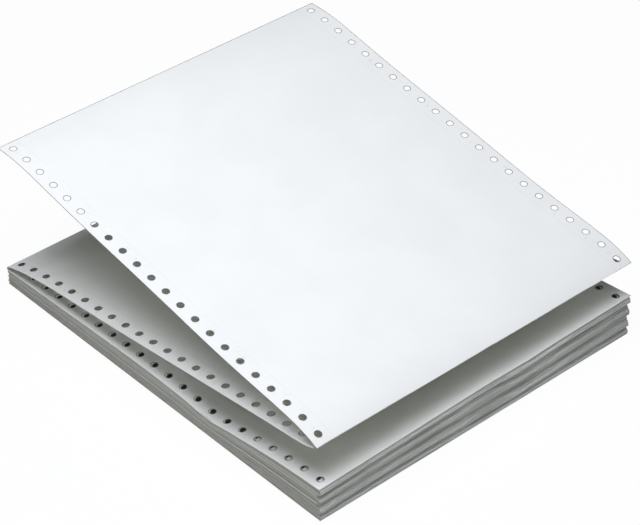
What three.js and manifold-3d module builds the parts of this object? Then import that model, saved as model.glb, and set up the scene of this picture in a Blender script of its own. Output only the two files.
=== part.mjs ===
import * as THREE from 'three';
import { mergeVertices } from 'three/addons/utils/BufferGeometryUtils.js';
import Module from 'manifold-3d';

// Fanfold continuous form paper: one long web, folded to and fro into a pile, with the
// top two leaves lifted so that they stand open over it.
// Millimetres. X runs across the web, Y from the front folds to the back folds, and Z up.
// The origin is on the surface that the pile lies on, under its middle.

// Web
const LEAF_LENGTH = 279.4; // fold to fold, 11 in
const WEB_WIDTH = 241.3; // 9.5 in with both margins
const PAPER = 0.1; // thickness of one leaf

// Tractor-feed holes along both margins
const HOLE_PITCH = 12.7;
const HOLE_DIAMETER = 4;
const HOLE_TO_SIDE_EDGE = 6.35;
const HOLE_SIDES = 12;
const HOLE_CUT_REACH = 1; // how far a cutter reaches past the leaf that it cuts

// Pile: every fold is two leaves, and the folds lie in bundles, lowest first
const FOLDS_IN_BUNDLES = [10, 15, 16, 9];
const FRONT_GROOVE = 2; // how far the top of a bundle lies behind its nose, at the front
const BACK_GROOVE = 0.8; // and at the back, where the pile is pressed flatter
const FOLD_BITE = 0.2; // how far the gap between two folds lies behind their noses
const BUNDLE_WAVE = 0.6; // how far a bundle rises left of the middle and falls right of it

// A bundle's profile, as fractions of its height and of its groove
const NOSE_FROM = 0.15;
const NOSE_TO = 0.25;
const GROOVE_FROM = 0.8;
const LIP_ROUNDING = 0.25; // recess of a bundle's lower lip
const TOP_ROUNDING = 0.3; // recess of the highest bundle's top

// Height of the pile as a multiple of its leaves pressed solid:
// [fraction of the leaf from the front folds, at the left edge, at the right edge]
const PILE_LOOSENESS = [
  [0, 2.2, 2.72],
  [0.12, 1.98, 2.39],
  [0.26, 1.49, 1.63],
  [0.33, 1.22, 1.22],
  [0.41, 1.38, 1.38],
  [0.52, 1.44, 1.44],
  [0.69, 1.33, 1.33],
  [0.84, 1.18, 1.18],
  [1, 1.02, 1.02],
];

// The fold from the pile up to the second leaf stands open
const OPEN_FOLD_RADIUS = 1.5;
const OPEN_FOLD_STEPS = 10;
const OPEN_FOLD_CREASE = 45; // where on it the second leaf starts, in degrees above its furthest point

// Slope of the lifted leaves in degrees, at fractions of the leaf from its lower fold
const SECOND_LEAF_SLOPES = [[0, 17.5], [0.1, 9], [0.22, 5.3], [0.5, 6.6], [0.8, 6.3], [0.9, 5.2], [0.95, 7], [1, 31]];
const TOP_LEAF_SLOPES = [[0, 27], [0.04, 17], [0.09, 9], [0.17, 7.5], [0.38, 10.8], [0.64, 10], [0.87, 12], [1, 1]];

// Fineness of the mesh
const LEAF_STEPS = 26;
const WIDTH_STEPS = 4;

const HALF_LENGTH = LEAF_LENGTH / 2;
const HALF_WIDTH = WEB_WIDTH / 2;
const FOLDS = FOLDS_IN_BUNDLES.reduce((sum, folds) => sum + folds, 0);
const PRESSED_HEIGHT = 2 * FOLDS * PAPER;
const HOLES_PER_LEAF = Math.floor(LEAF_LENGTH / HOLE_PITCH);

// Value at u of a smooth line through the stations [place, value]
function smoothThrough(stations, u) {
  const last = stations.length - 1;
  let next = 1;
  while (next < last && u > stations[next][0]) next += 1;
  const [u0, v0] = stations[next - 1];
  const [u1, v1] = stations[next];
  return THREE.MathUtils.lerp(v0, v1, THREE.MathUtils.smoothstep(u, u0, u1));
}

// Fractions from 0 to 1, closer together near both folds, where a leaf bends most
function leafFractions() {
  return Array.from({ length: LEAF_STEPS + 1 }, (_, i) => (1 - Math.cos((Math.PI * i) / LEAF_STEPS)) / 2);
}

// Height of the pile over the fraction u of its length, at x across the web
function pileHeight(u, x) {
  const across = x / WEB_WIDTH + 0.5;
  const places = PILE_LOOSENESS.map(([place]) => place);
  const looseness = PILE_LOOSENESS.map(([, left, right]) => THREE.MathUtils.lerp(left, right, across));
  return PRESSED_HEIGHT * new THREE.CubicInterpolant(places, looseness, 1).evaluate(u)[0];
}

// How far the point at the fraction t of a bundle's height lies behind its nose
function bundleRecess(bundle, t, groove) {
  const isHighest = bundle === FOLDS_IN_BUNDLES.length - 1;
  const top = THREE.MathUtils.smoothstep(t, NOSE_TO, GROOVE_FROM) * (isHighest ? TOP_ROUNDING : 1);
  const lip = bundle === 0 ? 0 : LIP_ROUNDING * Math.max(1 - t / NOSE_FROM, 0) ** 2;
  return groove * (top + lip);
}

// One folded face of the pile, from the bottom up, as [distance behind the face, height]
function foldedFace(height, groove, x) {
  const points = [];
  let below = 0;
  const wave = -BUNDLE_WAVE * Math.sin((2 * Math.PI * x) / WEB_WIDTH);
  const heightOf = (fold) => (height * fold) / FOLDS + wave * Math.sin((Math.PI * fold) / FOLDS);
  FOLDS_IN_BUNDLES.forEach((folds, bundle) => {
    for (let fold = 0; fold < folds; fold += 1) {
      const gap = bundleRecess(bundle, fold / folds, groove) + FOLD_BITE;
      const nose = bundleRecess(bundle, (fold + 0.5) / folds, groove);
      points.push([gap, heightOf(below + fold)], [nose, heightOf(below + fold + 0.5)]);
    }
    below += folds;
  });
  return points;
}

// Middle line of a lifted leaf, from a point that lies the distance start.s along it: points
// {s, y, z, slope}. forward is 1 towards the back folds and -1 towards the front
function leafLine(start, slopes, forward) {
  const fractions = leafFractions();
  const line = [{ ...start }];
  for (let i = 1; i < fractions.length; i += 1) {
    const slope = THREE.MathUtils.degToRad(smoothThrough(slopes, (fractions[i] + fractions[i - 1]) / 2));
    const step = (fractions[i] - fractions[i - 1]) * (LEAF_LENGTH - start.s);
    const last = line[i - 1];
    last.slope = i > 1 ? (last.slope + slope) / 2 : slope;
    line.push({
      s: last.s + step,
      y: last.y + forward * step * Math.cos(slope),
      z: last.z + step * Math.sin(slope),
      slope,
    });
  }
  return line;
}

// A face of a leaf: its middle line moved along its upward normal
function leafFace(line, forward, offset) {
  return line.map((p) => [p.y - forward * offset * Math.sin(p.slope), p.z + offset * Math.cos(p.slope)]);
}

// The point and slope at the distance s along a leaf's line
function along(line, s) {
  let i = 1;
  while (i < line.length - 1 && s > line[i].s) i += 1;
  const [a, b] = [line[i - 1], line[i]];
  const t = (s - a.s) / (b.s - a.s);
  return {
    y: THREE.MathUtils.lerp(a.y, b.y, t),
    z: THREE.MathUtils.lerp(a.z, b.z, t),
    slope: Math.atan2(b.z - a.z, b.y - a.y),
  };
}

// The open back fold: an arc about this middle, from the pile's top round to the second leaf
const HALF_PAPER = PAPER / 2;
const openFold = { y: HALF_LENGTH - OPEN_FOLD_RADIUS, z: pileHeight(1, 0) - PAPER + OPEN_FOLD_RADIUS };
const foldEnd = Math.PI / 2 - THREE.MathUtils.degToRad(SECOND_LEAF_SLOPES[0][1]);

function openFoldArc(radius) {
  return Array.from({ length: OPEN_FOLD_STEPS + 1 }, (_, i) => {
    const angle = THREE.MathUtils.lerp(-Math.PI / 2, foldEnd, i / OPEN_FOLD_STEPS);
    return [openFold.y + radius * Math.cos(angle), openFold.z + radius * Math.sin(angle)];
  });
}

const [secondLeafY, secondLeafZ] = openFoldArc(OPEN_FOLD_RADIUS - HALF_PAPER)[OPEN_FOLD_STEPS];
const foldOfSecondLeaf = (OPEN_FOLD_RADIUS - HALF_PAPER) * (foldEnd - THREE.MathUtils.degToRad(OPEN_FOLD_CREASE));
const secondLeafStart = { s: foldOfSecondLeaf, y: secondLeafY, z: secondLeafZ };
const secondLeaf = leafLine(secondLeafStart, SECOND_LEAF_SLOPES, -1);
const frontFold = secondLeaf[LEAF_STEPS];
const topLeaf = leafLine({ s: 0, y: frontFold.y, z: frontFold.z + PAPER }, TOP_LEAF_SLOPES, 1);

// Top of the pile, front to back, at x across the web
function pileTop(x) {
  const front = -HALF_LENGTH + TOP_ROUNDING * FRONT_GROOVE + FOLD_BITE;
  return leafFractions().map((u) => [THREE.MathUtils.lerp(front, openFold.y, u), pileHeight(u, x)]);
}

// The whole web's section at x, one closed line round pile, second leaf and top leaf
function webSection(x) {
  const front = foldedFace(pileHeight(0, x), FRONT_GROOVE, x);
  const back = foldedFace(pileHeight(1, x) - PAPER, BACK_GROOVE, x);
  return [
    ...back.map(([depth, z]) => [HALF_LENGTH - depth, z]),
    ...openFoldArc(OPEN_FOLD_RADIUS).slice(0, -1),
    ...leafFace(secondLeaf, -1, HALF_PAPER),
    ...leafFace(topLeaf, 1, -HALF_PAPER).slice(1),
    ...leafFace(topLeaf, 1, HALF_PAPER).reverse(),
    [frontFold.y - PAPER, frontFold.z + HALF_PAPER],
    ...leafFace(secondLeaf, -1, -HALF_PAPER).reverse(),
    ...openFoldArc(OPEN_FOLD_RADIUS - PAPER).reverse().slice(1),
    ...pileTop(x).reverse().slice(1),
    ...front.map(([depth, z]) => [-HALF_LENGTH + depth, z]).reverse(),
  ];
}

// Triangles that fill a section, turned to face +X
function fillSection(section) {
  const contour = section.map(([y, z]) => new THREE.Vector2(y, z));
  return THREE.ShapeUtils.triangulateShape(contour, []).map(([a, b, c]) => {
    const turn = contour[b].clone().sub(contour[a]).cross(contour[c].clone().sub(contour[a]));
    return turn > 0 ? [a, b, c] : [a, c, b];
  });
}

// Closed body through the sections, from the left side edges to the right ones
function loftWeb() {
  const stations = Array.from({ length: WIDTH_STEPS + 1 }, (_, i) => -HALF_WIDTH + (WEB_WIDTH * i) / WIDTH_STEPS);
  const sections = stations.map(webSection);
  const count = sections[0].length;
  const positions = sections.flatMap((section, i) => section.flatMap(([y, z]) => [stations[i], y, z]));
  const index = [];
  for (let i = 0; i < WIDTH_STEPS; i += 1) {
    for (let j = 0; j < count; j += 1) {
      const [a, b] = [i * count + j, i * count + ((j + 1) % count)];
      index.push(a, b, b + count, a, b + count, a + count);
    }
  }
  const lastRing = WIDTH_STEPS * count;
  fillSection(sections[0]).forEach(([a, b, c]) => index.push(a, c, b));
  fillSection(sections[WIDTH_STEPS]).forEach(([a, b, c]) => index.push(lastRing + a, lastRing + b, lastRing + c));
  const geometry = new THREE.BufferGeometry();
  geometry.setAttribute('position', new THREE.Float32BufferAttribute(positions, 3));
  geometry.setIndex(index);
  return geometry;
}

// Cutter of one hole, square to a leaf that slopes by slope, its middle at (x, y, z)
function holeCutter(x, { y, z, slope }, reach) {
  const cutter = new THREE.CylinderGeometry(HOLE_DIAMETER / 2, HOLE_DIAMETER / 2, 2 * reach, HOLE_SIDES);
  return cutter.rotateX(Math.PI / 2 + slope).translate(x, y, z);
}

// The hole places of a leaf, as distances from its fold
function holeDistances() {
  return Array.from({ length: HOLES_PER_LEAF }, (_, i) => (i + 0.5) * HOLE_PITCH);
}

// Cutters of every hole: through each lifted leaf, and down through the whole pile
function holeCutters() {
  const cutters = [];
  const holeX = HALF_WIDTH - HOLE_TO_SIDE_EDGE;
  for (const x of [-holeX, holeX]) {
    for (const s of holeDistances()) {
      cutters.push(holeCutter(x, along(secondLeaf, s), HOLE_CUT_REACH));
      cutters.push(holeCutter(x, along(topLeaf, s), HOLE_CUT_REACH));
      const reach = (pileHeight(s / LEAF_LENGTH, x) + 2 * HOLE_CUT_REACH) / 2;
      cutters.push(holeCutter(x, { y: s - HALF_LENGTH, z: reach - HOLE_CUT_REACH, slope: 0 }, reach));
    }
  }
  return cutters;
}

const wasm = await Module();
wasm.setup();

function toSolid(geometry) {
  const bare = geometry.clone();
  bare.deleteAttribute('normal');
  bare.deleteAttribute('uv');
  const merged = mergeVertices(bare);
  return new wasm.Manifold(new wasm.Mesh({
    numProp: 3,
    vertProperties: new Float32Array(merged.attributes.position.array),
    triVerts: new Uint32Array(merged.index.array),
  }));
}

function toGeometry(solid) {
  const { vertProperties, triVerts } = solid.getMesh();
  const geometry = new THREE.BufferGeometry();
  geometry.setAttribute('position', new THREE.BufferAttribute(new Float32Array(vertProperties), 3));
  geometry.setIndex(new THREE.BufferAttribute(new Uint32Array(triVerts), 1));
  geometry.computeVertexNormals();
  return geometry;
}

function buildWeb() {
  const cutters = holeCutters().map(toSolid).reduce((all, cutter) => all.add(cutter));
  const web = toSolid(loftWeb()).subtract(cutters);
  const paper = new THREE.MeshStandardMaterial({ color: 0xe7ebee, roughness: 0.9, metalness: 0 });
  const mesh = new THREE.Mesh(toGeometry(web), paper);
  mesh.name = 'folded_web';
  return mesh;
}

const fanfoldPaper = new THREE.Group();
fanfoldPaper.name = 'fanfold_paper';
fanfoldPaper.add(buildWeb());

export default fanfoldPaper;
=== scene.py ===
"""Fanfold continuous form paper: one long web folded to and fro, its top two leaves lifted open.

Every leaf of the pile is real paper here. A flat leaf is punched, copied end to end into a strip, given the
paper's thickness, and then laid to and fro over the pile's height and round its folds.
"""

import logging
import math
from dataclasses import dataclass, field
from enum import Enum

import bpy
import numpy as np
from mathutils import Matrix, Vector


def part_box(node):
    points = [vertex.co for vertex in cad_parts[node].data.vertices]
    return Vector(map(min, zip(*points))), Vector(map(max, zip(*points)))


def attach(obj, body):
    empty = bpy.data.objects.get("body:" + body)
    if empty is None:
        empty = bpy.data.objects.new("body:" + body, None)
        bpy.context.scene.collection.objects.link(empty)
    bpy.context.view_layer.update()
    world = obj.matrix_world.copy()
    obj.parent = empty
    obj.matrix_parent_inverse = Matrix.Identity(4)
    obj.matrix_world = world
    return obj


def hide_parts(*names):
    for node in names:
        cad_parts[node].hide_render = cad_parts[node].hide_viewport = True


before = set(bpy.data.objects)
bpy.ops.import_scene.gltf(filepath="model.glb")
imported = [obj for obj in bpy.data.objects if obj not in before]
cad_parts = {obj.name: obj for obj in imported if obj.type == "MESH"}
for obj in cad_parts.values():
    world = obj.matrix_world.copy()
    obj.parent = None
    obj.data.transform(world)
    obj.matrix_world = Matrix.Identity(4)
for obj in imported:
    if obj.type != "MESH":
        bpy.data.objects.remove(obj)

log = logging.getLogger("fanfold")

MM = 0.001
NODE = "folded_web"
BODY = "root"

PHOTO_WIDTH = 640
SENSOR_WIDTH = 36.0

WELD = 0.01 * MM
FOLD_ROWS = (0.155 * MM, 0.31 * MM)
NEAR_FOLD_ROWS = (0.75 * MM, 1.2 * MM, 1.75 * MM, 2.3 * MM)
SMOOTH_ANGLE = math.radians(35)


class Run(Enum):
    """Which way a leaf runs from its lower fold."""

    TO_BACK = 1
    TO_FRONT = -1


class Face(Enum):
    """The two folded faces of the pile."""

    FRONT = "front"
    BACK = "back"


def clear_selection() -> None:
    """Leave edit mode and deselect every object."""
    if bpy.context.object and bpy.context.object.mode != "OBJECT":
        bpy.ops.object.mode_set(mode="OBJECT")
    bpy.ops.object.select_all(action="DESELECT")


def pick(*pieces: bpy.types.Object) -> None:
    """Select these pieces alone, the first one active."""
    clear_selection()
    for piece in pieces:
        piece.select_set(True)
    bpy.context.view_layer.objects.active = pieces[0]


def apply_modifier(piece: bpy.types.Object, kind: str, **settings: object) -> None:
    """Add one modifier to a piece and apply it.

    Args:
        piece: The piece to change.
        kind: Blender's name of the modifier type.
        settings: The modifier's own settings.
    """
    pick(piece)
    modifier = piece.modifiers.new(kind.lower(), kind)
    for name, value in settings.items():
        setattr(modifier, name, value)
    bpy.ops.object.modifier_apply(modifier=modifier.name)


def curve_through(places: np.ndarray, values: np.ndarray, u: np.ndarray) -> np.ndarray:
    """Read a cubic curve through stations; its slope at a station is the mean of its neighbours'.

    Args:
        places: Places of the stations, in rising order.
        values: A row of values for each station; the row may hold one value for each of u.
        u: The places to read.

    Returns:
        The values there.
    """
    values = np.asarray(values, float)
    values = values[:, None] * np.ones(len(u)) if values.ndim == 1 else values
    secants = np.diff(values, axis=0) / np.diff(places)[:, None]
    slopes = np.vstack([secants[:1], (secants[1:] + secants[:-1]) / 2, secants[-1:]])
    index = np.clip(np.searchsorted(places, u), 1, len(places) - 1)
    column = np.arange(len(u))
    width = places[index] - places[index - 1]
    t = np.clip((u - places[index - 1]) / width, 0, 1)
    start, end = values[index - 1, column], values[index, column]
    slope_in, slope_out = slopes[index - 1, column] * width, slopes[index, column] * width
    return (
        start * (1 + 2 * t) * (1 - t) ** 2
        + slope_in * t * (1 - t) ** 2
        + end * t * t * (3 - 2 * t)
        + slope_out * t * t * (t - 1)
    )


def smooth_step(low: float, high: float, value: np.ndarray) -> np.ndarray:
    """Rise smoothly from 0 at low to 1 at high."""
    t = np.clip((value - low) / (high - low), 0, 1)
    return t * t * (3 - 2 * t)


def smooth_through(stations: np.ndarray, u: np.ndarray) -> np.ndarray:
    """Read a smooth line through stations.

    Args:
        stations: Rows of (place, value), in rising order of place.
        u: The places to read.

    Returns:
        The values there.
    """
    places, values = stations[:, 0], stations[:, 1]
    index = np.clip(np.searchsorted(places, u), 1, len(places) - 1)
    share = np.clip((u - places[index - 1]) / (places[index] - places[index - 1]), 0, 1)
    share = share * share * (3 - 2 * share)
    return values[index - 1] + (values[index] - values[index - 1]) * share


@dataclass(frozen=True)
class WebSizes:
    """Sizes of the web, in metres, from the frame and from the paper's own standard."""

    length: float
    width: float
    paper: float = 0.1 * MM
    hole_pitch: float = 12.7 * MM
    hole_radius: float = 2.0 * MM
    fold_row: float = 0.31 * MM

    @property
    def holes(self) -> int:
        """Number of holes on one side of a leaf."""
        return round(self.length / self.hole_pitch)

    @property
    def hole_x(self) -> float:
        """Distance of the hole centres from the web's middle."""
        return self.width / 2 - self.hole_pitch / 2

    @classmethod
    def from_frame(cls, node: str) -> "WebSizes":
        """Read the web's length and width from the fixed frame."""
        low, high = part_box(node)
        return cls(length=high.y - low.y, width=high.x - low.x)


@dataclass
class LeafBlank:
    """One flat leaf, punched along both margins, lying on z = 0 from y = 0 to its length."""

    sizes: WebSizes
    hole_sides: int
    cell_cuts: int
    columns: int
    fold_rows: tuple

    def margin_cell(self) -> bpy.types.Object:
        """Make one square of margin with its hole.

        Returns:
            The square, at the near end of the right margin.
        """
        pitch = self.sizes.hole_pitch
        centre = (self.sizes.hole_x, pitch / 2, 0)
        clear_selection()
        bpy.ops.mesh.primitive_plane_add(size=pitch, location=centre)
        cell = bpy.context.object
        bpy.ops.object.transform_apply(location=True, rotation=True, scale=True)
        bpy.ops.object.mode_set(mode="EDIT")
        bpy.ops.mesh.delete(type="ONLY_FACE")
        if self.cell_cuts > 1:
            bpy.ops.mesh.select_all(action="SELECT")
            bpy.ops.mesh.subdivide(number_cuts=self.cell_cuts - 1)
        radius = self.sizes.hole_radius
        bpy.ops.mesh.primitive_circle_add(vertices=self.hole_sides, radius=radius, location=centre)
        bpy.ops.mesh.select_all(action="SELECT")
        bpy.ops.mesh.bridge_edge_loops()
        bpy.ops.mesh.select_all(action="SELECT")
        bpy.ops.mesh.normals_make_consistent(inside=False)
        bpy.ops.object.mode_set(mode="OBJECT")
        return cell

    def middle(self) -> bpy.types.Object:
        """Make the plain paper between the two margins.

        Returns:
            The grid of paper, with a row for each cut of the margin cells.
        """
        sizes = self.sizes
        width = sizes.width - 2 * sizes.hole_pitch
        clear_selection()
        bpy.ops.mesh.primitive_grid_add(
            x_subdivisions=self.columns,
            y_subdivisions=sizes.holes * self.cell_cuts,
            size=1,
            location=(0, sizes.length / 2, 0),
        )
        sheet = bpy.context.object
        bpy.ops.transform.resize(value=(width, sizes.length, 1))
        bpy.ops.object.transform_apply(location=True, rotation=True, scale=True)
        return sheet

    def build(self, name: str) -> bpy.types.Object:
        """Make the whole flat leaf.

        Args:
            name: The new piece's name.

        Returns:
            The leaf, one open sheet with a row of vertices beside each fold.
        """
        sizes = self.sizes
        margin = self.margin_cell()
        apply_modifier(
            margin,
            "ARRAY",
            count=sizes.holes,
            use_relative_offset=False,
            use_constant_offset=True,
            constant_offset_displace=(0, sizes.hole_pitch, 0),
            use_merge_vertices=True,
            merge_threshold=WELD,
        )
        apply_modifier(margin, "MIRROR", use_axis=(True, False, False), use_mirror_merge=False)
        pick(self.middle(), margin)
        bpy.ops.object.join()
        leaf = bpy.context.object
        leaf.name = name
        bpy.ops.object.mode_set(mode="EDIT")
        bpy.ops.mesh.select_all(action="SELECT")
        bpy.ops.mesh.remove_doubles(threshold=WELD)
        for row in self.fold_rows:
            for place in (row, sizes.length - row):
                bpy.ops.mesh.select_all(action="SELECT")
                bpy.ops.mesh.bisect(plane_co=(0, place, 0), plane_no=(0, 1, 0))
        bpy.ops.mesh.select_all(action="SELECT")
        bpy.ops.mesh.normals_make_consistent(inside=False)
        bpy.ops.object.mode_set(mode="OBJECT")
        return leaf


@dataclass
class PileShape:
    """The form of the folded pile: its height, its bundles and the air between its leaves."""

    sizes: WebSizes
    folds_in_bundles: tuple = (10, 15, 16, 9)
    front_groove: float = 2.0 * MM
    back_groove: float = 0.8 * MM
    nose_from: float = 0.15
    nose_to: float = 0.25
    groove_from: float = 0.8
    lip_rounding: float = 0.25
    top_rounding: float = 0.3
    looseness: tuple = (
        (0, 2.2, 2.72),
        (0.12, 1.98, 2.39),
        (0.26, 1.49, 1.63),
        (0.33, 1.22, 1.22),
        (0.41, 1.38, 1.38),
        (0.52, 1.44, 1.44),
        (0.69, 1.33, 1.33),
        (0.84, 1.18, 1.18),
        (1, 1.02, 1.02),
    )
    wave_places: tuple = (-120.65, -60, -20, 12, 35, 57, 120.65)
    lip_waves: tuple = (
        (0, 0, 0, 0, 0, 0, 0),
        (0.2, 0.85, -0.3, -1.0, -1.5, -0.75, 0),
        (0.6, 1.1, 0.9, 0.1, -0.6, -0.5, 0),
        (-0.3, 1.1, 1.4, 1.1, -0.6, 0.5, 0.3),
        (0, 0.2, 0.5, 0.5, -0.4, 0, 0.1),
    )
    wave_reach: float = 0.15
    open_fold_radius: float = 1.5 * MM
    open_fold_crease: float = math.radians(45)
    drift: float = 0.13 * MM
    drift_leaves: int = 7
    jitter: float = 0.08 * MM
    ledges: int = 12
    ledge_every: int = 11
    ledge: float = 0.35 * MM
    slide: float = 0.25 * MM
    slide_run: float = 4 * MM
    shy: float = 0.11 * MM
    shy_waves: float = 1.2
    shy_wander: float = 0.7
    shy_step: float = 0.618
    top_shy: float = 0.4
    swell_waves: float = 1.3
    swell_step: float = 0.37
    swell_depth: float = 0.35
    top_gap: float = 0.7
    misfit_left: float = 3.95 * MM
    misfit_right: float = 1.6 * MM
    misfit_eased: float = 0.1
    misfit_places: tuple = (4.2 * MM, 8 * MM, 28 * MM, 56 * MM, 76 * MM)
    slope_step: float = 0.5 * MM
    seed: int = 11
    air_below: np.ndarray = field(init=False)
    slide_x: np.ndarray = field(init=False)
    slide_y: np.ndarray = field(init=False)
    nose_shy: np.ndarray = field(init=False)

    def __post_init__(self) -> None:
        """Share each bundle's air among its leaves, and lay each leaf a little out of line."""
        rng = np.random.default_rng(self.seed)
        below = [0.0]
        for bundle, folds in enumerate(self.folds_in_bundles):
            gaps = np.exp(rng.normal(0, 1, 2 * folds))
            if bundle == len(self.folds_in_bundles) - 1:
                gaps[-1] = 0
                gaps[-3] += self.top_gap * gaps.sum()
            below.extend(below[-1] + np.cumsum(gaps) / gaps.sum() * folds / self.folds)
        self.air_below = np.array(below[:-1])
        drift = rng.normal(0, 1, self.leaves + self.drift_leaves - 1)
        drift = np.convolve(drift, np.ones(self.drift_leaves) / self.drift_leaves, mode="valid")
        jitter = self.jitter * rng.uniform(-1, 1, self.leaves)
        self.slide_x = self.drift * drift / np.abs(drift).max() + jitter
        ledges = rng.integers(3, self.ledge_every, self.ledges).cumsum() % self.leaves
        self.slide_x[ledges] -= self.ledge
        self.slide_x[-2:] = 0
        self.slide_y = self.slide * rng.uniform(-1, 1, self.leaves)
        self.nose_shy = np.abs(rng.normal(0, self.shy, self.folds + 1))

    @property
    def folds(self) -> int:
        """Number of folds on the front face."""
        return sum(self.folds_in_bundles)

    @property
    def leaves(self) -> int:
        """Number of leaves that lie in the pile."""
        return 2 * self.folds

    @property
    def pressed(self) -> float:
        """Height of the leaves pressed solid."""
        return self.leaves * self.sizes.paper

    @property
    def room_x(self) -> float:
        """How much narrower the pile's leaves are laid, so that none slides past the web's width."""
        return float(np.abs(self.slide_x).max())

    @property
    def open_fold_middle(self) -> tuple:
        """Middle of the open back fold, as (y, z)."""
        top = float(self.height(np.array([1.0]), np.array([0.0]))[0])
        return (
            self.sizes.length / 2 - self.open_fold_radius,
            top - self.sizes.paper + self.open_fold_radius,
        )

    @property
    def open_fold_bend(self) -> float:
        """Radius of the paper's middle round the open back fold."""
        return self.open_fold_radius - self.sizes.paper / 2

    def height(self, u: np.ndarray, x: np.ndarray) -> np.ndarray:
        """Height of the pile.

        Args:
            u: Share of the leaf's length from the front folds.
            x: Place across the web.

        Returns:
            The height of the top leaf's upper side.
        """
        table = np.array(self.looseness)
        across = x / self.sizes.width + 0.5
        values = table[:, 1:2] + (table[:, 2:3] - table[:, 1:2]) * across
        return self.pressed * curve_through(table[:, 0], values, u)

    def recess(self, fold: np.ndarray, face: Face, x: np.ndarray) -> np.ndarray:
        """How far a fold's nose lies behind the face of the pile.

        Args:
            fold: Index of the fold, from the bottom.
            face: The folded face that it is on.
            x: Place across the web.

        Returns:
            The distance for each place.
        """
        last = len(self.folds_in_bundles) - 1
        edges = np.concatenate([[0], np.cumsum(self.folds_in_bundles)])
        bundle = np.clip(np.searchsorted(edges, fold, side="right") - 1, 0, last)
        t = np.clip((fold + 0.5 - edges[bundle]) / np.array(self.folds_in_bundles)[bundle], 0, 1)
        top = smooth_step(self.nose_to, self.groove_from, t) * np.where(bundle == last, self.top_rounding, 1)
        lip = np.where(bundle == 0, 0, self.lip_rounding * np.maximum(1 - t / self.nose_from, 0) ** 2)
        groove = self.front_groove if face is Face.FRONT else self.back_groove
        width = self.sizes.width
        swell = np.sin(2 * math.pi * (self.swell_waves * x / width + self.swell_step * bundle)) / 2
        deepen = 1 + self.swell_depth * swell * (bundle < last)
        wander = np.sin(2 * math.pi * (self.shy_waves * x / width + self.shy_step * fold))
        shy = self.nose_shy[fold] * (1 + self.shy_wander * wander)
        shy = shy * np.where(bundle == last, self.top_shy, 1) * (fold < self.folds - 1)
        return groove * deepen * (top + lip) + shy

    def leaf_middle(self, leaf: np.ndarray, y: np.ndarray, x: np.ndarray) -> np.ndarray:
        """Height of the middle of a leaf's thickness.

        Args:
            leaf: Index of the leaf, from the bottom.
            y: Place along the feed.
            x: Place across the web.

        Returns:
            The height for each place.
        """
        sizes = self.sizes
        leaf = np.clip(leaf, 0, self.leaves - 1)
        u = np.clip(y / sizes.length + 0.5, 0, 1)
        air = self.height(u, x) - self.pressed
        level = np.clip(leaf / (self.leaves - 1), 0, 1)
        levels = np.concatenate([[0], np.cumsum(self.folds_in_bundles)]) / self.folds
        places = np.array(self.wave_places) * MM
        waves = np.array([curve_through(places, np.array(wave), x) for wave in self.lip_waves])
        index = np.clip(np.searchsorted(levels, level, side="right"), 1, len(levels) - 1)
        share = (level - levels[index - 1]) / (levels[index] - levels[index - 1])
        column = np.arange(len(x))
        wave = waves[index - 1, column] * (1 - share) + waves[index, column] * share
        wave = wave * MM * np.exp(-u / self.wave_reach)
        return sizes.paper * (leaf + 0.5) + air * self.air_below[leaf] + wave

    def misfit(self, leaf: np.ndarray, from_front: np.ndarray, x: np.ndarray) -> np.ndarray:
        """How far the leaves under the highest fold lie towards the back, so that holes miss each other.

        Args:
            leaf: Index of the leaf, from the bottom.
            from_front: Distance from the front fold.
            x: Place across the web.

        Returns:
            The distance for each place.
        """
        start, near, steady, fading, end = self.misfit_places
        across = np.clip(x / self.sizes.width + 0.5, 0, 1)
        most = self.misfit_left + (self.misfit_right - self.misfit_left) * across
        most = most * (1 - self.misfit_eased + self.misfit_eased * smooth_step(near, steady, from_front))
        shape = smooth_step(0, start, from_front) * (1 - smooth_step(fading, end, from_front))
        return np.where(leaf < self.leaves - 2, most, 0) * shape

    def lay(self, leaf: np.ndarray, travelled: np.ndarray, x: np.ndarray) -> tuple:
        """Find where a point of a leaf lies.

        Args:
            leaf: Index of its leaf, from the bottom.
            travelled: Distance along the leaf from the fold that the web comes from.
            x: Place across the web.

        Returns:
            The point's y and z, and the y and z of the paper's direction there.
        """
        sizes = self.sizes
        to_back = leaf % 2 == 1
        highest = leaf == self.leaves - 1
        run = np.where(to_back, 1.0, -1.0)
        from_front = np.where(to_back, travelled, sizes.length - travelled)
        from_back = sizes.length - from_front
        arc = sizes.fold_row
        half = sizes.paper / 2
        middle_y, middle_z = self.open_fold_middle
        front_tip = -sizes.length / 2 + half + self.recess(leaf // 2, Face.FRONT, x)
        back_fold = np.minimum((leaf + 1) // 2, self.folds - 1)
        back_tip = sizes.length / 2 - half - self.recess(back_fold, Face.BACK, x)
        front_partner = np.where(to_back, leaf - 1, leaf + 1)
        back_partner = np.where(to_back, leaf + 1, leaf - 1)
        front_own, front_other = (self.leaf_middle(g, front_tip, x) for g in (leaf, front_partner))
        back_own, back_other = (self.leaf_middle(g, back_tip, x) for g in (leaf, np.maximum(back_partner, 0)))
        front_radius = np.abs(front_own - front_other) / 2
        back_radius = np.where(highest, self.open_fold_bend, np.abs(back_own - back_other) / 2)
        back_crease = np.where(highest, self.open_fold_crease, 0)
        back_arc = np.where(highest, self.open_fold_bend * (math.pi / 2 + self.open_fold_crease), arc)
        back_tip = np.where(highest, middle_y + self.open_fold_bend, back_tip)
        back_middle = np.where(highest, middle_z, (back_own + back_other) / 2)

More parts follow.
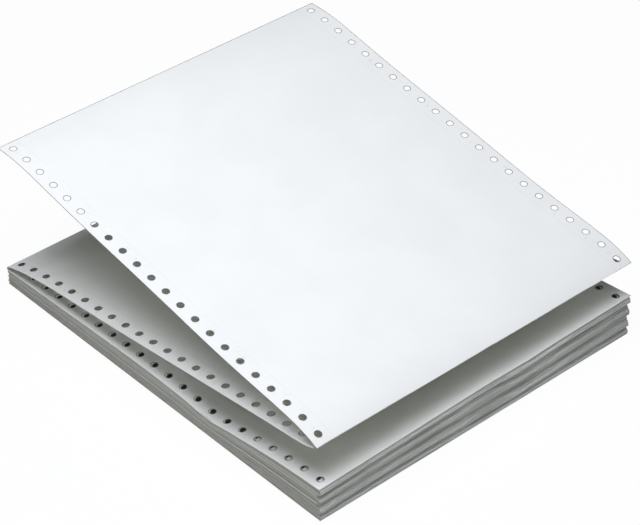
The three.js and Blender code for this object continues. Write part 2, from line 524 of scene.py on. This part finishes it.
        start, end = front_tip + front_radius, back_tip - back_radius
        share = np.clip((from_front - arc) / (sizes.length - arc - back_arc), 0, 1)
        let_go = (from_front / (from_front + self.slide_run)) * (from_back / (from_back + self.slide_run))
        slide = np.where(highest, 0, self.slide_y[leaf] * let_go)
        y = start + share * (end - start) + slide + self.misfit(leaf, from_front, x)
        z = self.leaf_middle(leaf, y, x)
        step = self.slope_step
        rise = self.leaf_middle(leaf, y + step, x) - self.leaf_middle(leaf, y - step, x)
        slope = np.arctan(rise / (2 * step))
        tangent_y, tangent_z = run * np.cos(slope), run * np.sin(slope)

        front_middle = (front_own + front_other) / 2
        for near, length, crease, inward, tip, middle, radius, side in (
            (from_front, arc, 0.0, 1.0, front_tip, front_middle, front_radius, run),
            (from_back, back_arc, back_crease, -1.0, back_tip, back_middle, back_radius, -run),
        ):
            angle = np.clip(near / length, 0, 1) * (math.pi / 2 + crease) - crease
            bent = (near < length) & (radius > 0)
            y = np.where(bent, tip + inward * radius * (1 - np.cos(angle)), y)
            z = np.where(bent, middle + side * radius * np.sin(angle), z)
            tangent_y = np.where(bent, run * np.sin(angle), tangent_y)
            tangent_z = np.where(bent, np.cos(angle), tangent_z)
        return y, z, tangent_y, tangent_z


def lay_paper(x: np.ndarray, through: np.ndarray, path: tuple) -> np.ndarray:
    """Put points of a sheet beside its laid middle.

    Args:
        x: Places across the web.
        through: Distances from the middle of the paper's thickness.
        path: The middle's y and z, and its direction's y and z.

    Returns:
        The points.
    """
    y, z, tangent_y, tangent_z = path
    return np.column_stack([x, y - through * tangent_z, z + through * tangent_y])


@dataclass
class PileWeb:
    """The folded leaves of the pile, cut into bundles of real leaves."""

    sizes: WebSizes
    shape: PileShape
    blank: bpy.types.Object
    thickness: float = 0.094 * MM

    def lay(self, flat: np.ndarray, first: int, count: int) -> np.ndarray:
        """Lay a flat strip to and fro over the pile.

        Args:
            flat: Vertices of the flat strip, as (across, along, through the paper).
            first: Index of the strip's first leaf, from the bottom.
            count: Number of leaves in the strip.

        Returns:
            The vertices in their places in the pile.
        """
        x, s, through = flat.T
        step = np.clip(np.floor(s / self.sizes.length).astype(int), 0, count - 1)
        leaf = first + step
        travelled = np.clip(s - step * self.sizes.length, 0, self.sizes.length)
        x = x * (1 - 2 * self.shape.room_x / self.sizes.width) + self.shape.slide_x[leaf]
        return lay_paper(x, through, self.shape.lay(leaf, travelled, x))

    def build(self, name: str, first: int, count: int) -> bpy.types.Object:
        """Make one bundle of leaves.

        Args:
            name: The new piece's name.
            first: Index of its first leaf, from the bottom.
            count: Number of leaves.

        Returns:
            The bundle in its place.
        """
        strip = make_strip(self.blank, name, count, self.sizes, self.thickness)
        flat = read_points(strip)
        write_points(strip, self.lay(flat, first, count))
        mark_flat_place(strip, flat)
        return strip


@dataclass
class OpenWeb:
    """The pile's highest leaf and the two lifted leaves, with the open and the raised fold between them."""

    sizes: WebSizes
    shape: PileShape
    blank: bpy.types.Object
    second_slopes: tuple = (
        (0, 17.5),
        (0.1, 9),
        (0.22, 5.3),
        (0.5, 6.6),
        (0.8, 6.3),
        (0.9, 5.2),
        (0.95, 7),
        (1, 30),
    )
    top_slopes: tuple = (
        (0, 27),
        (0.04, 17),
        (0.09, 9),
        (0.17, 7.5),
        (0.38, 10.8),
        (0.64, 10),
        (0.87, 12),
        (1, 1),
    )
    steps: int = 1200

    def line(self, start: tuple, slopes: tuple, run: Run) -> np.ndarray:
        """Work out a leaf's middle line.

        Args:
            start: Where it starts, as (distance along the leaf, y, z).
            slopes: Slope in degrees at shares of the line.
            run: Which way it runs from there.

        Returns:
            Rows of (distance along the leaf, y, z, slope).
        """
        travelled, y, z = start
        step = (self.sizes.length - travelled) / self.steps
        ends = np.linspace(0, 1, self.steps + 1)
        slope = np.radians(smooth_through(np.array(slopes, float), (ends[1:] + ends[:-1]) / 2))
        path_y = y + run.value * np.concatenate([[0], np.cumsum(np.cos(slope))]) * step
        path_z = z + np.concatenate([[0], np.cumsum(np.sin(slope))]) * step
        slope_at = np.radians(smooth_through(np.array(slopes, float), ends))
        return np.column_stack([travelled + ends * self.steps * step, path_y, path_z, slope_at])

    def lay(self, flat: np.ndarray) -> np.ndarray:
        """Lay the flat strip of three leaves.

        Args:
            flat: Vertices of the flat strip, as (across, along, through the paper).

        Returns:
            The vertices in their places.
        """
        sizes, shape = self.sizes, self.shape
        paper = sizes.paper
        x, s, through = flat.T
        step = np.clip(np.floor(s / sizes.length + 1e-9).astype(int), 0, 2)
        travelled = s - step * sizes.length

        bend = shape.open_fold_bend
        middle_y, middle_z = shape.open_fold_middle
        bend_end = math.pi / 2 - math.radians(self.second_slopes[0][1])
        crease = shape.open_fold_crease
        start_y, start_z = middle_y + bend * math.cos(bend_end), middle_z + bend * math.sin(bend_end)
        start = (bend * (bend_end - crease), start_y, start_z)
        second = self.line(start, self.second_slopes, Run.TO_FRONT)
        fold_y, fold_z = second[-1, 1], second[-1, 2]
        top = self.line((0.0, fold_y, fold_z + paper), self.top_slopes, Run.TO_BACK)

        paths = [shape.lay(np.full(len(s), shape.leaves - 1), np.clip(travelled, 0, sizes.length), x)]
        for line, run in ((second, -1.0), (top, 1.0)):
            y, z, slope = (np.interp(travelled, line[:, 0], line[:, i]) for i in (1, 2, 3))
            paths.append((y, z, run * np.cos(slope), np.sin(slope)))
        y, z, tangent_y, tangent_z = (np.choose(step, [path[i] for path in paths]) for i in range(4))

        turn = crease + travelled / bend
        in_open_fold = (step == 1) & (turn < bend_end)
        y = np.where(in_open_fold, middle_y + bend * np.cos(turn), y)
        z = np.where(in_open_fold, middle_z + bend * np.sin(turn), z)
        tangent_y = np.where(in_open_fold, -np.sin(turn), tangent_y)
        tangent_z = np.where(in_open_fold, np.cos(turn), tangent_z)

        radius = paper / 2
        past = (s - 2 * sizes.length) / sizes.fold_row
        in_raised_fold = np.abs(past) < 1
        turn = past * math.pi / 2
        y = np.where(in_raised_fold, fold_y - radius * np.cos(turn), y)
        z = np.where(in_raised_fold, fold_z + radius + radius * np.sin(turn), z)
        tangent_y = np.where(in_raised_fold, np.sin(turn), tangent_y)
        tangent_z = np.where(in_raised_fold, np.cos(turn), tangent_z)
        return lay_paper(x, through, (y, z, tangent_y, tangent_z))

    def build(self, name: str) -> bpy.types.Object:
        """Make the highest leaf of the pile and the two lifted leaves."""
        strip = make_strip(self.blank, name, 3, self.sizes, self.sizes.paper)
        flat = read_points(strip)
        write_points(strip, self.lay(flat))
        mark_flat_place(strip, flat)
        pick(strip)
        bpy.ops.object.shade_smooth_by_angle(angle=SMOOTH_ANGLE)
        return strip


def make_strip(
    blank: bpy.types.Object, name: str, count: int, sizes: WebSizes, thickness: float
) -> bpy.types.Object:
    """Copy a flat leaf end to end and give the strip its thickness.

    Args:
        blank: The flat leaf.
        name: The new piece's name.
        count: Number of leaves in the strip.
        sizes: The web's sizes.
        thickness: Thickness of the paper.

    Returns:
        The flat strip, one closed sheet.
    """
    pick(blank)
    bpy.ops.object.duplicate()
    strip = bpy.context.object
    strip.name = name
    strip.data.name = name
    apply_modifier(
        strip,
        "ARRAY",
        count=count,
        use_relative_offset=False,
        use_constant_offset=True,
        constant_offset_displace=(0, sizes.length, 0),
        use_merge_vertices=True,
        merge_threshold=WELD,
    )
    apply_modifier(strip, "SOLIDIFY", thickness=thickness, offset=0)
    return strip


def read_points(piece: bpy.types.Object) -> np.ndarray:
    """Read a piece's vertices as rows of (x, y, z)."""
    points = np.empty(len(piece.data.vertices) * 3)
    piece.data.vertices.foreach_get("co", points)
    return points.reshape(-1, 3)


def write_points(piece: bpy.types.Object, points: np.ndarray) -> None:
    """Move a piece's vertices to these rows of (x, y, z)."""
    piece.data.vertices.foreach_set("co", points.astype(np.float32).ravel())
    piece.data.update()


def mark_flat_place(piece: bpy.types.Object, flat: np.ndarray) -> None:
    """Keep each vertex's place on the flat web, which the paper's pattern follows.

    Args:
        piece: The laid piece.
        flat: Its vertices before it was laid.
    """
    attribute = piece.data.attributes.new("flat_web", "FLOAT_VECTOR", "POINT")
    attribute.data.foreach_set("vector", (flat / MM).astype(np.float32).ravel())


@dataclass(frozen=True)
class PaperFinish:
    """White uncoated paper with perforations and punched holes, with painted shade round the holes, along the
    long edges and on the folds, and painted light on the cut edges.

    Widths, pitches and reaches are millimetres on the flat web; raised_heights and fibre_depth are metres.
    """

    colour: tuple = (0.86, 0.853, 0.795)
    # The cut-edge colour is a lighter, warmer copy of the paper colour: painted light on the pile's sides.
    cut_edge_painted_light: tuple = (0.9, 0.86, 0.73)
    roughness: float = 0.82
    specular: float = 0.25
    noise_middle: tuple = (0.3, 0.7)
    cloud_scale: float = 26.0
    mottle: float = 0.03
    fibre_scale: float = 1400.0
    fibre_depth: float = 0.02 * MM
    bump_strength: float = 0.35
    # The ring values paint shade in a ring round each hole.
    ring_width: float = 0.34
    ring_soft: float = 0.25
    painted_ring_shade: float = 0.85
    tie_pitch: float = 1.6
    tie_cut: float = 0.68
    score_width: float = 0.16
    score_soft: float = 0.1
    score_shade: float = 0.12
    score_depth: float = 2.0
    # The rim values paint shade along the long edges, stronger on the raised top leaf; rim_width and rim_soft
    # also size the painted shade on the folds.
    rim_width: float = 0.3
    rim_soft: float = 0.2
    painted_rim_shades: tuple = (0.25, 0.9)
    raised_heights: tuple = (0.03, 0.06)
    # The streak and fold values paint shade on the folds in uneven streaks.
    streak_across: float = 0.03
    streak_along: float = 0.7
    streak_range: tuple = (0.38, 0.62)
    painted_fold_shades: tuple = (0.0, 0.4)
    speck_scale: float = 420.0
    speck_range: tuple = (0.62, 0.72)
    speck_shade: float = 0.1
    speck_reach: tuple = (5.0, 2.0)
    cut_depth: float = 0.01
    # The line values paint darker and lighter lines per leaf on the cut edges: painted light and shade
    # standing in for leaves that stand out of the pile's sides.
    line_scale: float = 0.16
    line_range: tuple = (0.35, 0.65)
    painted_leaf_line_shades: tuple = (0.68, 1.0)

    def build(self, name: str, sizes: WebSizes) -> bpy.types.Material:
        """Make the material's nodes.

        Args:
            name: The material's name.
            sizes: The web's sizes.

        Returns:
            The finished material.
        """
        board = NodeBoard(name)
        place = board.node("ShaderNodeAttribute", attribute_name="flat_web").outputs["Vector"]
        side, along, _ = board.split(place)
        across = board.math("ABSOLUTE", side)
        to_edge = board.math("SUBTRACT", sizes.width / MM / 2, across)
        turns = board.math("DIVIDE", along, sizes.length / MM)
        on_cut = board.math("LESS_THAN", to_edge, self.cut_depth)
        where = board.node("ShaderNodeTexCoord").outputs["Object"]
        score = self.score(board, across, along, sizes)

        # Painted shade round the holes, along the long edges and on the folds is summed here with the real
        # perforation cuts and dust specks.
        shade = board.math("MULTIPLY", self.painted_hole_ring(board, across, along, sizes), self.painted_ring_shade)
        for part in (
            board.math("MULTIPLY", score, self.score_shade),
            self.painted_rims(board, to_edge, on_cut, where),
            self.folds(board, side, turns, where, sizes),
            self.specks(board, across, where, sizes),
        ):
            shade = board.math("ADD", shade, part)
        shade = board.math("MULTIPLY", shade, 1.0, clamp=True)
        cloud = board.noise(where, scale=self.cloud_scale, detail=3)
        mottle = board.remap(cloud, self.noise_middle, (1 - self.mottle, 1.0))
        light = board.math("MULTIPLY", mottle, board.math("SUBTRACT", 1.0, shade))
        # Darker and lighter lines per leaf and the lighter, warmer cut-edge colour paint light and shade on
        # the pile's sides.
        line = board.noise(board.math("FLOOR", turns), scale=self.line_scale, detail=2)
        line = board.remap(line, self.line_range, self.painted_leaf_line_shades)
        edge = board.mix("MULTIPLY", 1.0, self.cut_edge_painted_light, line)
        paper = board.mix("MIX", on_cut, self.colour, edge)
        tint = board.mix("MULTIPLY", 1.0, paper, light)

        fibres = board.noise(where, scale=self.fibre_scale, detail=4)
        pressed = board.math("SUBTRACT", fibres, board.math("MULTIPLY", score, self.score_depth))
        bump = board.node("ShaderNodeBump")
        bump.inputs["Strength"].default_value = self.bump_strength
        bump.inputs["Distance"].default_value = self.fibre_depth
        board.join(pressed, bump.inputs["Height"])
        board.join(tint, board.surface.inputs["Base Color"])
        board.join(bump.outputs[0], board.surface.inputs["Normal"])
        board.surface.inputs["Roughness"].default_value = self.roughness
        board.surface.inputs["Specular IOR Level"].default_value = self.specular
        return board.material

    def score(self, board: "NodeBoard", across: object, along: object, sizes: WebSizes) -> object:
        """Mark the cuts of the tear-off perforations.

        Args:
            board: The material's nodes.
            across: Distance from the web's middle.
            along: Distance along the web.
            sizes: The web's sizes.

        Returns:
            The socket of the mark, 1 on a cut and 0 elsewhere.
        """
        score_x = (sizes.width / 2 - sizes.hole_pitch) / MM
        off_line = board.math("ABSOLUTE", board.math("SUBTRACT", across, score_x))
        line = board.band(off_line, self.score_width, self.score_soft)
        along_tie = board.math("FRACT", board.math("DIVIDE", along, self.tie_pitch))
        return board.math("MULTIPLY", line, board.math("LESS_THAN", along_tie, self.tie_cut))

    def painted_hole_ring(self, board: "NodeBoard", across: object, along: object, sizes: WebSizes) -> object:
        """Paint a ring of shade round each hole.

        Args:
            board: The material's nodes.
            across: Distance from the web's middle.
            along: Distance along the web.
            sizes: The web's sizes.

        Returns:
            The socket of the painted shade, 1 at the hole and 0 past the ring.
        """
        pitch = sizes.hole_pitch / MM
        side = board.math("SUBTRACT", across, sizes.hole_x / MM)
        cell = board.math("SUBTRACT", board.math("FRACT", board.math("DIVIDE", along, pitch)), 0.5)
        down = board.math("MULTIPLY", cell, pitch)
        squares = board.math("ADD", board.math("POWER", side, 2.0), board.math("POWER", down, 2.0))
        past_hole = board.math("SUBTRACT", board.math("SQRT", squares), sizes.hole_radius / MM)
        return board.band(past_hole, self.ring_width, self.ring_soft)

    def painted_rims(self, board: "NodeBoard", to_edge: object, on_cut: object, where: object) -> object:
        """Paint shade as a dark band on the faces beside the long edges, more on the raised top leaf.

        Args:
            board: The material's nodes.
            to_edge: Distance from the nearest long edge.
            on_cut: 1 on the cut edge itself.
            where: Object coordinates.

        Returns:
            The socket of the painted shade.
        """
        rim = board.band(to_edge, self.rim_width, self.rim_soft)
        rim = board.math("MULTIPLY", rim, board.math("SUBTRACT", 1.0, on_cut))
        height = board.split(where)[2]
        return board.math("MULTIPLY", rim, board.remap(height, self.raised_heights, self.painted_rim_shades))

    def folds(
        self, board: "NodeBoard", side: object, turns: object, where: object, sizes: WebSizes
    ) -> object:
        """Paint shade on the folds in uneven streaks, and a dark line of painted shade on the free edge of
        the top leaf.

        Args:
            board: The material's nodes.
            side: Place across the web.
            turns: Distance along the web in leaves.
            where: Object coordinates.
            sizes: The web's sizes.

        Returns:
            The socket of the shade.
        """
        nearest = board.math("ROUND", turns)
        off_fold = board.math("ABSOLUTE", board.math("SUBTRACT", turns, nearest))
        # Painted shade in a band along every fold.
        fold = board.band(board.math("MULTIPLY", off_fold, sizes.length / MM), self.rim_width, self.rim_soft)
        streak = board.node("ShaderNodeCombineXYZ")
        board.join(board.math("MULTIPLY", side, self.streak_across), streak.inputs[0])
        board.join(board.math("MULTIPLY", nearest, self.streak_along), streak.inputs[1])
        streaks = board.remap(
            board.noise(streak.outputs[0], scale=1.0, detail=3), self.streak_range, self.painted_fold_shades
        )
        # A dark band of painted shade along the free edge of the raised top leaf.
        raised = board.math("GREATER_THAN", board.split(where)[2], self.raised_heights[1])
        painted_free_edge = board.math("MULTIPLY", board.math("MULTIPLY", fold, raised), self.painted_rim_shades[1])
        return board.math("ADD", board.math("MULTIPLY", fold, streaks), painted_free_edge)

    def specks(self, board: "NodeBoard", across: object, where: object, sizes: WebSizes) -> object:
        """Shade faint specks of dust in the margins.

        Args:
            board: The material's nodes.
            across: Distance from the web's middle.
            where: Object coordinates.
            sizes: The web's sizes.

        Returns:
            The socket of the shade.
        """
        dust = board.noise(where, scale=self.speck_scale, detail=2)
        dust = board.remap(dust, self.speck_range, (0.0, 1.0))
        off_holes = board.math("ABSOLUTE", board.math("SUBTRACT", across, sizes.hole_x / MM))
        dust = board.math("MULTIPLY", dust, board.band(off_holes, *self.speck_reach))
        return board.math("MULTIPLY", dust, self.speck_shade)


class NodeBoard:
    """A material's node tree with short calls for its usual nodes."""

    def __init__(self, name: str) -> None:
        """Start a material with one Principled surface."""
        self.material = bpy.data.materials.new(name)
        self.material.use_nodes = True
        self.tree = self.material.node_tree
        self.surface = self.tree.nodes["Principled BSDF"]

    def node(self, kind: str, **settings: object) -> bpy.types.Node:
        """Add a node with these settings."""
        made = self.tree.nodes.new(kind)
        for name, value in settings.items():
            setattr(made, name, value)
        return made

    def join(self, source: object, target: bpy.types.NodeSocket) -> None:
        """Link a socket to another, or write a plain value or colour on it."""
        if isinstance(source, (int, float, tuple)):
            target.default_value = source
        else:
            self.tree.links.new(source, target)

    def math(self, operation: str, a: object, b: object = 0.0, clamp: bool = False) -> bpy.types.NodeSocket:
        """Add a maths node on one or two values."""
        made = self.node("ShaderNodeMath", operation=operation, use_clamp=clamp)
        self.join(a, made.inputs[0])
        self.join(b, made.inputs[1])
        return made.outputs[0]

    def split(self, vector: bpy.types.NodeSocket) -> tuple:
        """Split a vector into its three values."""
        made = self.node("ShaderNodeSeparateXYZ")
        self.join(vector, made.inputs[0])
        return tuple(made.outputs)

    def mix(self, blend: str, factor: object, a: object, b: object) -> bpy.types.NodeSocket:
        """Mix two colours.

        Args:
            blend: Blender's name of the blend type.
            factor: Share of the second colour.
            a: The first colour, a socket or plain red, green and blue.
            b: The socket of the second colour.

        Returns:
            The socket of the mixed colour.
        """
        made = self.node("ShaderNodeMix", data_type="RGBA", blend_type=blend)
        self.join(factor, made.inputs["Factor"])
        self.join((*a, 1) if isinstance(a, tuple) else a, made.inputs[6])
        self.join(b, made.inputs[7])
        return made.outputs[2]

    def remap(self, value: object, source: tuple, target: tuple) -> bpy.types.NodeSocket:
        """Map a value smoothly from one range to another."""
        made = self.node("ShaderNodeMapRange", interpolation_type="SMOOTHSTEP")
        self.join(value, made.inputs["Value"])
        for socket, number in zip(("From Min", "From Max", "To Min", "To Max"), (*source, *target)):
            made.inputs[socket].default_value = number
        return made.outputs["Result"]

    def band(self, distance: object, width: float, soft: float) -> bpy.types.NodeSocket:
        """1 within a width of a line and 0 past it, with a soft edge."""
        return self.remap(distance, (max(width - soft, 0.0), width + soft), (1.0, 0.0))

    def noise(self, place: object, scale: float, detail: float) -> bpy.types.NodeSocket:
        """Add a noise pattern and return its value."""
        made = self.node("ShaderNodeTexNoise")
        made.inputs["Scale"].default_value = scale
        made.inputs["Detail"].default_value = detail
        self.join(place, made.inputs["Vector"])
        return made.outputs["Fac"]


@dataclass(frozen=True)
class Studio:
    """Plain floor, two soft lamps and the photograph's camera."""

    focal_px: float = 2494.7
    camera_at: tuple = (-0.772, -0.8678, 0.9066)
    azimuth: float = -41.82
    elevation: float = 36.93
    floor_colour: tuple = (0.83, 0.86, 0.82)
    floor_white: float = 0.96
    lamp_size: float = 0.6
    lamp_at: tuple = (-0.18, -0.07, 0.81)
    lamp_power: float = 6.6
    lamp_colour: tuple = (0.94, 0.972, 1.08)
    front_size: float = 0.6
    front_at: tuple = (-0.14, -0.42, 1.0)
    front_power: float = 1.85
    fill_colour: tuple = (0.97, 1.0, 0.97)
    fill_strength: float = 0.04
    floor_size: float = 12.0
    floor_drop: float = 0.02 * MM

    def camera(self) -> None:
        """Set up the camera at the photograph's viewing angle."""
        data = bpy.data.cameras.new("camera")
        data.sensor_width = SENSOR_WIDTH
        data.lens = self.focal_px / PHOTO_WIDTH * SENSOR_WIDTH
        data.clip_start = 0.01
        camera = bpy.data.objects.new("camera", data)
        camera.location = self.camera_at
        camera.rotation_euler = (math.radians(90 - self.elevation), 0, math.radians(self.azimuth))
        bpy.context.scene.collection.objects.link(camera)
        bpy.context.scene.camera = camera

    def lamp(self, name: str, size: float, place: tuple, power: float, colour: tuple) -> None:
        """Hang one square soft lamp that faces the pile.

        Args:
            name: The lamp's name.
            size: Side of the lamp.
            place: Its middle.
            power: Its power in watts.
            colour: Its colour.
        """
        data = bpy.data.lights.new(name, "AREA")
        data.shape = "SQUARE"
        data.size = size
        data.energy = power
        data.color = colour
        lamp = bpy.data.objects.new(name, data)
        lamp.location = place
        direction = -lamp.location.normalized()
        lamp.rotation_euler = direction.to_track_quat("-Z", "Y").to_euler()
        bpy.context.scene.collection.objects.link(lamp)

    def world(self) -> None:
        """Show white behind everything, and give a weak even fill."""
        world = bpy.data.worlds.new("world")
        bpy.context.scene.world = world
        world.use_nodes = True
        tree = world.node_tree
        fill = tree.nodes["Background"]
        fill.inputs["Color"].default_value = (*self.fill_colour, 1)
        fill.inputs["Strength"].default_value = self.fill_strength
        white = tree.nodes.new("ShaderNodeBackground")
        white.inputs["Strength"].default_value = 1
        white.inputs["Color"].default_value = (1, 1, 1, 1)
        path = tree.nodes.new("ShaderNodeLightPath")
        mix = tree.nodes.new("ShaderNodeMixShader")
        tree.links.new(path.outputs["Is Camera Ray"], mix.inputs[0])
        tree.links.new(fill.outputs[0], mix.inputs[1])
        tree.links.new(white.outputs[0], mix.inputs[2])
        tree.links.new(mix.outputs[0], tree.nodes["World Output"].inputs["Surface"])

    def floor(self) -> bpy.types.Object:
        """Lay the pale floor under the pile."""
        clear_selection()
        bpy.ops.mesh.primitive_plane_add(size=self.floor_size, location=(0, 0, -self.floor_drop))
        floor = bpy.context.object
        floor.name = "floor"
        board = NodeBoard("pale_floor")
        board.surface.inputs["Base Color"].default_value = (*self.floor_colour, 1)
        board.surface.inputs["Roughness"].default_value = 0.9
        board.surface.inputs["Specular IOR Level"].default_value = 0.1
        white = board.node("ShaderNodeEmission")
        path = board.node("ShaderNodeLightPath")
        mix = board.node("ShaderNodeMixShader")
        board.join(board.math("MULTIPLY", path.outputs["Is Camera Ray"], self.floor_white), mix.inputs[0])
        board.join(board.surface.outputs[0], mix.inputs[1])
        board.join(white.outputs[0], mix.inputs[2])
        board.join(mix.outputs[0], board.tree.nodes["Material Output"].inputs["Surface"])
        floor.data.materials.append(board.material)
        return floor

    def build(self) -> None:
        """Set up floor, light, background and camera."""
        scene = bpy.context.scene
        scene.view_settings.view_transform = "Standard"
        self.camera()
        self.world()
        self.floor()
        self.lamp("overhead", self.lamp_size, self.lamp_at, self.lamp_power, self.lamp_colour)
        self.lamp("front", self.front_size, self.front_at, self.front_power, self.lamp_colour)


def dress(piece: bpy.types.Object, paper: bpy.types.Material) -> None:
    """Give a finished piece its material, say what it rides on, and hide the frame part that it replaces."""
    piece.data.materials.clear()
    piece.data.materials.append(paper)
    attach(piece, BODY)
    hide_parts(NODE)
    log.info("%s: %d faces", piece.name, len(piece.data.polygons))


def main() -> None:
    """Build the web, dress it and set up the studio."""
    logging.basicConfig(level=logging.INFO, format="%(message)s")
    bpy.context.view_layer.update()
    sizes = WebSizes.from_frame(NODE)
    shape = PileShape(sizes)
    paper = PaperFinish().build("listing_paper", sizes)

    rows = FOLD_ROWS + NEAR_FOLD_ROWS
    fine = LeafBlank(sizes, hole_sides=24, cell_cuts=4, columns=24, fold_rows=rows).build("fine_leaf")
    plain = LeafBlank(sizes, hole_sides=12, cell_cuts=1, columns=16, fold_rows=FOLD_ROWS).build("plain_leaf")
    pile = PileWeb(sizes, shape, plain)
    first = 0
    for number, folds in enumerate(shape.folds_in_bundles, 1):
        count = min(2 * folds, shape.leaves - 1 - first)
        dress(pile.build(f"pile_bundle_{number}", first, count), paper)
        first += count
    dress(OpenWeb(sizes, shape, fine).build("open_leaves"), paper)
    for blank in (fine, plain):
        bpy.data.objects.remove(blank)

    Studio().build()


if __name__ == "__main__":
    main()
